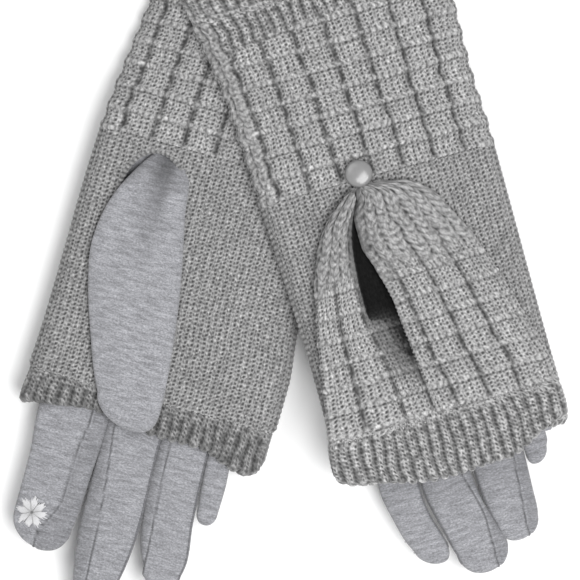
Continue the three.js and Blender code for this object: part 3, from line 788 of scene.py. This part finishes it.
def flap_sections(glove, s):
    """Rows of (across, height, fabric place, painted shade) over the puffy outside of the left flap."""
    flap = glove["flap"]
    e0, e1 = flap["left"](s), flap["right"](s)
    a, b = through(glove["slit_left"])(s), through(glove["slit_right"])(s)
    open_ = smooth((s - POCKET + 4) / 9)
    recess = smooth((s - 14) / 30)
    depth = mix(4.2 * recess, SLIT_DEEP, open_)
    shut = 1 - 0.35 * smooth((s - 107) / 9)
    depth = depth * shut
    span = e1 - b
    full = (1.3 + 1.5 * bell(s - 74, 26)) * smooth((s - 8) / 14)
    cleft = smooth((s - 78) / 14)
    side = unit(depth / SLIT_DEEP)
    # Painted shade in the slit and in the recess below it, lighter on the slit's left wall, and in the
    # cleft between the lobes.
    dark = mix(0.6 * recess, 0.97, open_) * mix(0.7, 1, shut)
    left_wall_shade = mix(0.3 * recess, 0.97, open_) * mix(0.7, 1, shut)
    floor_t = TOP - depth
    wall = lambda t: mix(TOP, t, side)
    lobe = a - e0
    rows = [
        (e0, LOW - 1.5, 0, 0), (e0 - 0.3, LOW + 1.5, 0.02, 0), (e0 + 0.8, TOP - 1.6, 0.04, 0),
        (e0 + lobe * 0.25, TOP + 0.2, 0.10, 0), (e0 + lobe * 0.5, TOP + 0.7 * full, 0.18, 0),
        (a - np.minimum(6, lobe * 0.3), TOP + 0.3 - 0.8 * cleft, 0.25, 0),
        (a - 1.8, wall(TOP - 1.2 - 2.4 * cleft), 0.29, 0.3 * cleft),
        (a, wall(LOW + 1.5), 0.31, left_wall_shade * 0.45), (a + 0.8, floor_t + 0.8, 0.33, left_wall_shade),
        (a + 2, floor_t, 0.35, left_wall_shade), (mix(a + 3, b, 0.6), floor_t, 0.38, dark),
        (b + 3.2 * side, floor_t + 0.2, 0.41, dark),
        (b + 2.2 * side, floor_t + 1.8 * side, 0.42, dark),
        (b, wall(LOW + 1), 0.44, dark * 0.6),
        (b + 0.2, wall(TOP - 2.2 - 1.8 * cleft), 0.46, dark * 0.12 + 0.25 * cleft),
        (b + 2.8, TOP + 0.1 - 1.2 * cleft, 0.49, 0.1 * cleft),
        (b + span * 0.22, TOP + 1.2 * full, 0.56, 0),
        (b + span * 0.5, TOP + 1.5 * full, 0.7, 0), (b + span * 0.78, TOP + 0.7 * full, 0.84, 0),
        (e1 - 3.4, TOP - 0.7, 0.92, 0), (e1 - 0.8, TOP - 2.6, 0.96, 0), (e1 + 0.3, LOW + 1, 0.98, 0),
        (e1, LOW - 1.5, 1.0, 0),
    ]
    return np.stack([np.stack([v + 0 * s for v in row], -1) for row in rows], 1)


def tip_height(s):
    return np.sqrt(np.clip(1 - unit((s - TIP_START) / (TIP + 1 - TIP_START)) ** 2.2, 0.02, 1))


def strands(x, y):
    """The flap's knit: waffle that draws together into long ropes of stitches near the button."""
    h, relief, tone = waffle(x, y)
    draw = smooth((y - 68 - 4 * waves(x, y, 25, 2)) / 16) * 0.85
    return (*mixed((h, relief), ropes(x, y), draw), tone)


def left_flap(glove):
    flap = glove["flap"]
    step = FINE * 1.1
    s = np.linspace(flap["start"] - 4, TIP, int((TIP - flap["start"] + 14) / step))
    turn = np.linspace(0, math.pi / 2, 7)[1:]
    h = np.concatenate([tip_height(s), tip_height(TIP) * np.cos(turn)])[:, None]
    s = np.concatenate([s, TIP + np.sin(turn)])
    rows = resampled(smoothed(flap_sections(glove, s)), step)
    w, t, f, dark = (rows[..., k] for k in range(4))
    base = FLAP_BASE
    reach = np.linalg.norm(np.diff(rows[len(rows) // 3, :, :2], axis=0), axis=1)
    f = np.concatenate([[0], np.cumsum(reach)])[None, :] + 0 * w
    nominal = float(f[0, -1])
    f = f / nominal
    t = base + (t - base) * h + 0.5 * waves(w, s[:, None], 30, 11) * np.clip(t - LOW, 0, 3) / 3
    ss = s[:, None] + 0 * w
    z = middle(glove, w, ss) + t
    fabric = pair((f - 0.44) * nominal, ss)
    grain = unit(from_sides(f) * 40) * np.clip((TIP + 1 - ss) / 5, 0.2, 1)
    grain = grain * (1 - 0.7 * smooth(dark * 2.5))
    outside = grid(put(glove, w, ss, z), fabric, strands, outward=-1, fade=grain, dark=dark,
                   amount=1.05)
    # Faces deep in painted shade take the darkened knit.
    outside["deep"] = dark > 0.5
    q = np.linspace(0, 1, 170)[None, :]
    sl = np.linspace(s[0], s[-1], 170)[:, None]
    wl = mix(flap["left"](sl), flap["right"](sl), q)
    sl = sl + 0 * wl
    tl = base + (LOW - 1.5 - base) * (1 - np.sin(math.pi * q) ** 0.35) * tip_height(sl)
    under = grid(put(glove, wl, sl, middle(glove, wl, sl) + tl), pair((q - 0.5) * FLAP_ROUND, sl),
                 plain, fade=unit(from_sides(q) * 30))
    piece(glove, "flap_pouch", [outside], KNIT, "flap",
          ["flap_near_layer", "flap_seam_thumb", "flap_seam_little"])
    piece(glove, "flap_inner_layer", [under], KNIT, "flap", ["flap_far_layer"])


def flap_hem(glove):
    flap = glove["flap"]
    mouth = through(flap["mouth"])
    bumps = ragged(0.7, 52, 2.1, 0.5, 13, 2)
    band_piece(glove, flap, "flap_hem_rib", "flap", flap["start"], lambda w, q: mouth(w) + bumps(q),
               flap["half"], flap["middle"], FLAP_ROUND, "flap_hem", FINE * 1.1, flare=0.9, dive=1.2)


def right_flap(glove):
    """The right glove's flap, lying flat out of sight on the back of the hand."""
    flap = glove["flap"]
    s = np.linspace(flap["start"] - 1, RIGHT_TIP, 150)[:, None]
    q = np.linspace(0, 1, 170)[None, :]
    shape = np.sqrt(np.clip(1 - unit((s - 100) / 15) ** 2, 0.03, 1))
    w, t = stadium(flap["left"](s), flap["right"](s), flap["half"], q)
    fabric = pair((q - 0.5) * 100, s)
    fade = unit(from_sides(q) * 40)
    grids = []
    for up in (-1, 1):
        z = middle(glove, w, s) + flap["middle"] + up * t * shape
        grids.append(grid(put(glove, w, s, z), fabric, waffle, outward=-up, fade=fade * 0.8))
    piece(glove, "flap_pouch", grids, KNIT, "flap",
          ["flap_near_layer", "flap_far_layer", "flap_seam_thumb", "flap_seam_little"])


left_flap(LEFT)
right_flap(RIGHT)
flap_hem(LEFT)
flap_hem(RIGHT)


# ---- Jersey fingers and thumbs ----
def both_sides(sections):
    """Curves along s of the left and right side, from (s, left, right) rows."""
    return [through([(row[0], row[k]) for row in sections]) for k in (1, 2)]


def tube_rows(sections, tip, root, step):
    """s, left, right and thickness down a finger, its end rounded off."""
    left, right = both_sides(sections)
    tip_s, tip_w = tip
    near = tip_s + 9
    last = tip_s + 0.47 * float(right(near) - left(near)) + 1.0
    s = np.linspace(root, last, max(6, int((root - last) / step)))
    turn = np.linspace(0, math.pi / 2, 30)[1:]
    round_ = np.maximum(np.cos(turn), 0.02) ** 0.9
    s_cap = last + (tip_s - last) * np.sin(turn)
    centre = (left(last) + right(last)) / 2
    c_cap = mix(centre, tip_w, np.sin(turn) ** 1.6)
    half = (right(last) - left(last)) / 2
    lean = np.sin(turn)
    l = np.concatenate([left(s), c_cap - half * round_])
    r = np.concatenate([right(s), c_cap + half * round_])
    thick = np.concatenate([np.ones(len(s)), mix(1, round_, lean)])
    return np.concatenate([s, s_cap]), l, r, thick


def finger_grid(glove, rows, mid, step, offset=0.0, angles=None, seams=(), creases=0.0,
                fold=None, gusset=1):
    """A jersey tube, or the strip of its side between two angles, with sunk seams and a fold."""
    s, l, r, thick = (v[:, None] for v in rows)
    if angles is None:
        count = int(np.max(r - l) * 2.4 / step)
        turn = circle(count)[None, :]
    else:
        turn = np.radians(np.linspace(angles[0], angles[1], max(5, int(7 / step))))[None, :]
    c, d = np.cos(turn), np.sin(turn)
    across = (l + r) / 2 + ((r - l) / 2 + offset) * np.sign(c) * np.abs(c) ** 0.72
    height = (FINGER_HALF * thick + offset) * np.sign(d) * np.abs(d) ** 0.8
    ss = s + 0 * across
    height = height + creases * 0.35 * waves(across, ss, 17, 21) * unit(d)
    if fold is not None:
        line, start, finish, deep = fold
        share = smooth((ss - start) / (finish - start))
        valley = bell(across - through(line)(ss), 4.2) * share
        height = height - deep * valley * np.sign(d)
        # Painted shade in the crease and towards the root.
        dark = 0.5 * valley + 0.3 * smooth((ss - finish + 6) / 14)
    else:
        # Painted shade along the finger's sides.
        dark = 0.05 + 0.28 * smooth((np.abs(c) - 0.86) / 0.14) + 0 * across
    fabric = pair(across, ss)
    dent = 0 * across
    for line in seams:
        gap = np.abs(across - through(line)(ss))
        near = bell(gap, 0.42) * (d > 0)
        lip = bell(gap - 1.3, 0.7) * (d > 0)
        dark = np.maximum(dark, near * 0.9)
        dent = dent - 0.55 * near + 0.18 * lip
        # The sunk strip beyond a seam gets painted shade.
        beyond = smooth(((across - through(line)(ss)) * gusset - 0.4) / 1.2) * (d > 0)
        dark = np.maximum(dark, 0.3 * beyond)
        dent = dent - 0.7 * beyond
    made = grid(put(glove, across, ss, mid + height), fabric, round_columns=angles is None, dark=dark)
    n = normals(made["P"], angles is None)
    made["P"] = made["P"] + n * dent[..., None]
    return made


def finger(glove, name):
    sections, tip = glove["fingers"][name]
    root = sections[0][0] + INSIDE_HAND
    centre = (sections[0][1] + sections[0][2]) / 2
    sections = [(root, *sections[0][1:])] + sections
    rows = tube_rows(sections, tip, root, FINGER_STEP)
    mid = glove["finger_level"]
    hinge = local(glove, *(np.array(JOINTS[f"{glove['side']}_{name}_fold"]["pos_m"][:2]) / MM))
    span = point(glove, centre, hinge[1] + 7, mid), point(glove, centre, hinge[1] - 5, mid)
    made = finger_grid(glove, rows, mid, FINGER_STEP, seams=glove["seams"].get(name, ()),
                       creases=1.0, gusset=glove["gusset"] if name != "index" else 1)
    piece(glove, f"{name}_finger", [made], JERSEY, name, [f"liner_{name}"], span)
    for way in STRIPS.get(name, ()):
        where = "thumb" if way < 0 else "little"
        angles = (-26, 26) if way > 0 else (154, 206)
        keep = rows[0] > tip[0] + 6
        made = finger_grid(glove, [v[keep] for v in rows], mid, 0.6, offset=0.28, angles=angles)
        piece(glove, f"{name}_side_strip_{where}", [made], JERSEY_SIDE_SHADE, name,
              [f"fourchette_{name}_{where}_side"], span)


def thumb(glove):
    sections = glove["thumb"]
    root = sections[0][0]
    left, right = sections[0][1] + 1, sections[0][2] - 1
    sections = [(root + 6, left + 3, right - 3)] + sections
    rows = tube_rows(sections, glove["thumb_tip"], root + 6, THUMB_STEP)
    s = rows[0]
    sink = smooth((s - (root - 15)) / 20)
    rows = (*rows[:3], rows[3] * (1 + 0.12 * np.sin(unit(s / root) * math.pi)))
    centre = (left + right) / 2
    crease = [(60, centre - 2), (root, centre - 1)], 62, root - 8, 4.0
    level = glove["thumb_middle"] - glove["face"] * THUMB_SINK * sink[:, None]
    made = finger_grid(glove, rows, level, THUMB_STEP, creases=1.6, fold=crease)
    span = point(glove, centre, root + 3, 25), point(glove, centre, root - 9, 25)
    piece(glove, "thumb_jersey", [made], JERSEY, "thumb", ["liner_thumb"], span)


for glove in (RIGHT, LEFT):
    for name in glove["fingers"]:
        finger(glove, name)
    thumb(glove)


# ---- Edges, openings, linings and trims ----
def rope(glove, name, centre, radius, body, slot, replaced, look, pitch, step=0.45, closed=False,
         depth=0.3):
    """A stitched edge: a tube along points (w, s, z), with slanting stitches round it."""
    centre = np.array(centre, float)
    if closed:
        centre = np.concatenate([centre, centre[:1]])
    run = np.concatenate([[0], np.cumsum(np.linalg.norm(np.diff(centre, axis=0), axis=1))])
    y = np.linspace(0, run[-1], max(12, int(run[-1] / step)))
    line = np.stack([np.interp(y, run, centre[:, k]) for k in range(3)], 1)
    world = put(glove, line[:, 0], line[:, 1], line[:, 2])
    ahead = np.gradient(world, axis=0)
    ahead /= np.linalg.norm(ahead, axis=1, keepdims=True)
    side = np.cross(ahead, (0, 0, 1.0))
    side /= np.maximum(np.linalg.norm(side, axis=1, keepdims=True), 1e-6)
    up = np.cross(side, ahead)
    turn = circle(14)[None, :, None]
    phase = y[:, None] / pitch
    around = turn[..., 0]
    leg = np.abs(np.sin(math.pi * (phase - 0.75 * np.abs(np.sin(around / 2 + 0.78))))) ** 0.8
    size = radius * (1 - depth + depth * leg * 1.4)
    ends = np.ones(len(y)) if closed else np.clip(np.minimum(y, y[-1] - y) / radius, 0.02, 1) ** 0.5
    size = size * ends[:, None]
    P = world[:, None] + size[..., None] * (np.cos(turn) * side[:, None] + np.sin(turn) * up[:, None])
    fabric = pair(around * radius, y[:, None])
    tone = chance(np.floor(phase), np.floor(around), 4) * 2 - 1
    # Stitch legs lighter, the gaps between them darker: painted light and shade.
    made = sheet(P, fabric, unit(0.25 + 0.5 * leg), tone, True, True)
    piece(glove, name, [made], look, body, [replaced])


def edges(glove):
    for which, edge, way in (("thumb", glove["left"], -1), ("little", glove["right"], 1)):
        s = np.linspace(glove["hem"] + HEM, glove["wrist"] - BAND, 160)
        w = edge(s) + way * (0.35 + beat(glove, s))
        line = np.stack([w, s, middle(glove, w, s)], 1)
        rope(glove, f"edge_stitching_{which}", line, 1.9, "glove", "knit", f"side_seam_{which}",
             KNIT, 2.6, depth=0.18)
    hw, hs, rw, rs = glove["thumb_hole"]
    turn = circle(60)
    w, s = hw + rw * np.cos(turn), hs + rs * np.sin(turn)
    up = glove["face"]
    line = np.stack([w, s, middle(glove, w, s) + up * (SHELL + 0.6)], 1)
    rope(glove, "thumb_opening_stitching", line, 1.35, "glove", "elastic", "thumb_opening_edge",
         KNIT, 2.3, closed=True)


def lining(glove):
    """The jersey hand inside the knit shell, open at the wrist and drawn in at the fingers."""
    first = glove["fingers"]["index"][0][0][0] + 6
    s = np.linspace(first, glove["wrist"] - 6, 120)[:, None]
    left, right = glove["left"](s) + 4.5, glove["right"](s) - 4.5
    grids = []
    ease = unit((s - first) / 10) ** 0.5
    for up in (-1, 1):
        q = np.linspace(0, 1, 70)[None, :]
        w, t = stadium(left + 3 * (1 - ease), right - 3 * (1 - ease), LINER, q)
        z = middle(glove, w, s) + up * t * np.maximum(ease, 0.05)
        grids.append(grid(put(glove, w, s, z), pair(w, s), outward=-up))
    piece(glove, "jersey_lining", grids, JERSEY, "glove", ["liner_back", "liner_palm"])


def lathe(glove, name, centre, profile, count, body, replaced, look):
    """A turned piece: profile is (radius, height) pairs from the bottom to the crown."""
    turn = circle(count)[None, :]
    r, z = (np.array(v, float)[:, None] for v in zip(*profile))
    w, s = centre[0] + r * np.cos(turn), centre[1] + r * np.sin(turn)
    P = put(glove, w, s, centre[2] + z + 0 * turn)
    flip = (z[-1, 0] - z[0, 0]) < 0
    fabric = pair(w - centre[0], s - centre[1])
    made = sheet(P, fabric, np.ones(w.shape), np.zeros(w.shape), True, flip)
    piece(glove, name, [made], look, body, [replaced])


def cad_box(glove, node):
    """The low and the high corner of a glove's CAD node, in millimetres."""
    return (np.array(v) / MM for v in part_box(f"{glove['side']}_{node}"))


def button(glove):
    lo, hi = cad_box(glove, "button_dome")
    slo, shi = cad_box(glove, "button_shank")
    w, s = glove["button"]
    up = -glove["face"]
    foot, crown = (lo[2], hi[2]) if up > 0 else (hi[2], lo[2])
    tall = crown - foot
    radius = (hi[0] - lo[0]) / 2
    curve = np.linspace(0, math.pi / 2, 22)
    rim = [(0.01, 0.0), (radius * 0.62, 0.0), (radius * 0.9, tall * 0.04), (radius * 0.975, tall * 0.12),
           (radius, tall * 0.3), (radius * 0.99, tall * 0.5), (radius * 0.95, tall * 0.62)]
    dome = [(radius * 0.93 * math.cos(a) + 0.01, tall * (0.67 + 0.33 * math.sin(a))) for a in curve]
    lathe(glove, "pearl_button", (w, s, foot), rim + dome, 72, "glove", "button_dome",
          BUTTON)
    low, high = (slo[2], shi[2]) if up > 0 else (shi[2], slo[2])
    stem = [(3.4, -0.2 * up), (3.2, 0.5 * up), (2.4, 1.0 * up), (2.2, (high - low) * 0.5),
            (2.5, (high - low) * 0.85), (2.7, high - low)]
    lathe(glove, "button_stem", (w, s, low), stem, 28, "glove", "button_shank", ELASTIC)


def loop(glove):
    lo, hi = cad_box(glove, "flap_loop")
    w, s = glove["button"]
    z = (lo[2] + hi[2]) / 2
    tail = 4.6
    turn = np.radians(np.linspace(-62, 242, 50))
    line = [(w + 1.6 + 1.2, s - 4.9 - tail, z)]
    line += [(w + 4.4 * math.cos(a), s + 4.4 * math.sin(a), z) for a in turn]
    line += [(w - 1.6 - 1.2, s - 4.9 - tail, z)]
    rope(glove, "button_loop", line, 0.95, "flap", "elastic", "flap_loop", ELASTIC, 1.3, step=0.25)


PETALS, FLOWER_RADIUS, THREADS = 8, 7.0, 88


def flower(glove):
    """A satin-stitch flower: raised threads run out along each petal."""
    w0, s0 = glove["flower"]
    up = glove["face"]
    turn = circle(THREADS * 5)[None, :]
    share = np.linspace(0.04, 1, 26)[:, None]
    lobe = np.abs(np.cos(turn * PETALS / 2))
    reach = FLOWER_RADIUS * (0.6 + 0.4 * lobe ** 0.7)
    thread = np.abs(np.sin(turn * THREADS / 2))
    reach = reach + 1.9 * (chance(np.floor(turn * THREADS / 2 / math.pi), 0, 5) - 0.5)
    r = reach * share
    between = unit(lobe * 2.2)
    high = 0.28 + 0.5 * np.sin(math.pi * share ** 0.8) ** 0.5 * between
    high = high + 0.16 * thread * between * unit(share * 4)
    high = high * unit((1 - share) * 9) - 0.35 * bell(share, 0.1)
    w, s = w0 + r * np.cos(turn), s0 + r * np.sin(turn)
    level = glove["finger_level"] + up * (FINGER_HALF + 0.05)
    left, right = (side_of(s) for side_of in both_sides(glove["fingers"]["index"][0]))
    off = np.abs(2 * (w - left) / (right - left) - 1)
    drop = FINGER_HALF * (1 - unit(1 - np.clip(off, 0, 0.985) ** 2.78) ** 0.4)
    z = level - up * drop + up * high
    P = put(glove, w, s, z)
    # Painted light on the thread crests, painted shade between the threads and in the sunk middle.
    relief = unit(0.25 + 0.6 * thread * between + 0.2 * share)
    relief = relief * unit(0.35 + share * 3)
    made = sheet(P, pair(turn * 6, r), relief, 0 * relief, True, up < 0)
    piece(glove, "index_flower", [made], SATIN, "index", ["touch_flower"])


for glove in (RIGHT, LEFT):
    edges(glove)
    lining(glove)
    button(glove)
    loop(glove)
    flower(glove)


# ---- Camera, light and floor ----
centre = (flat(RIGHT, 0, 0)[0] + flat(LEFT, 0, 0)[0]) / 2, flat(RIGHT, 0, 0)[1]
AIM = Vector(((centre[0] - 2) * MM, (centre[1] + 63) * MM, 0.016))
VIEW_WIDTH, CAMERA_DISTANCE, SENSOR = 0.261, 2.4, 36.0
camera = placed("camera", bpy.data.cameras.new("camera"))
camera.data.sensor_width = SENSOR
camera.data.lens = SENSOR * CAMERA_DISTANCE / VIEW_WIDTH
camera.location = AIM + Vector((0, 0, CAMERA_DISTANCE))
camera.data.clip_end = 20
bpy.context.scene.camera = camera

FLOOR_SIZE = 6.0
floor_mesh = bpy.data.meshes.new("floor")
h = FLOOR_SIZE / 2
floor_mesh.from_pydata([(-h, -h, 0), (h, -h, 0), (h, h, 0), (-h, h, 0)], [], [(0, 1, 2, 3)])
floor = placed("floor", floor_mesh)
floor.location.z = -0.0004


def paper(n):
    soft = n.noise(n.put("ShaderNodeTexCoord").outputs["Object"], 3.0, 2)
    return n.ramp(soft, (0.3, grey(0.93)), (0.7, grey(0.95))), None, 0


floor_mesh.materials.append(material("white_paper", paper, 0.9))


def softbox(name, place, size, power):
    light = placed(name, bpy.data.lights.new(name, "AREA"))
    light.data.shape, light.data.size, light.data.energy = "SQUARE", size, power
    light.location = place
    light.rotation_mode = "QUATERNION"
    light.rotation_quaternion = (AIM - Vector(place)).to_track_quat("-Z", "Y")


softbox("key", (0.42, -0.36, 1.4), 0.9, 25)
softbox("fill", (-0.8, 0.8, 1.4), 1.2, 10)
world = bpy.data.worlds.new("studio")
world.use_nodes = True
background = world.node_tree.nodes["Background"].inputs
background["Color"].default_value = (1, 1, 1, 1)
background["Strength"].default_value = 0.34
bpy.context.scene.world = world
bpy.context.scene.view_settings.view_transform = "Standard"
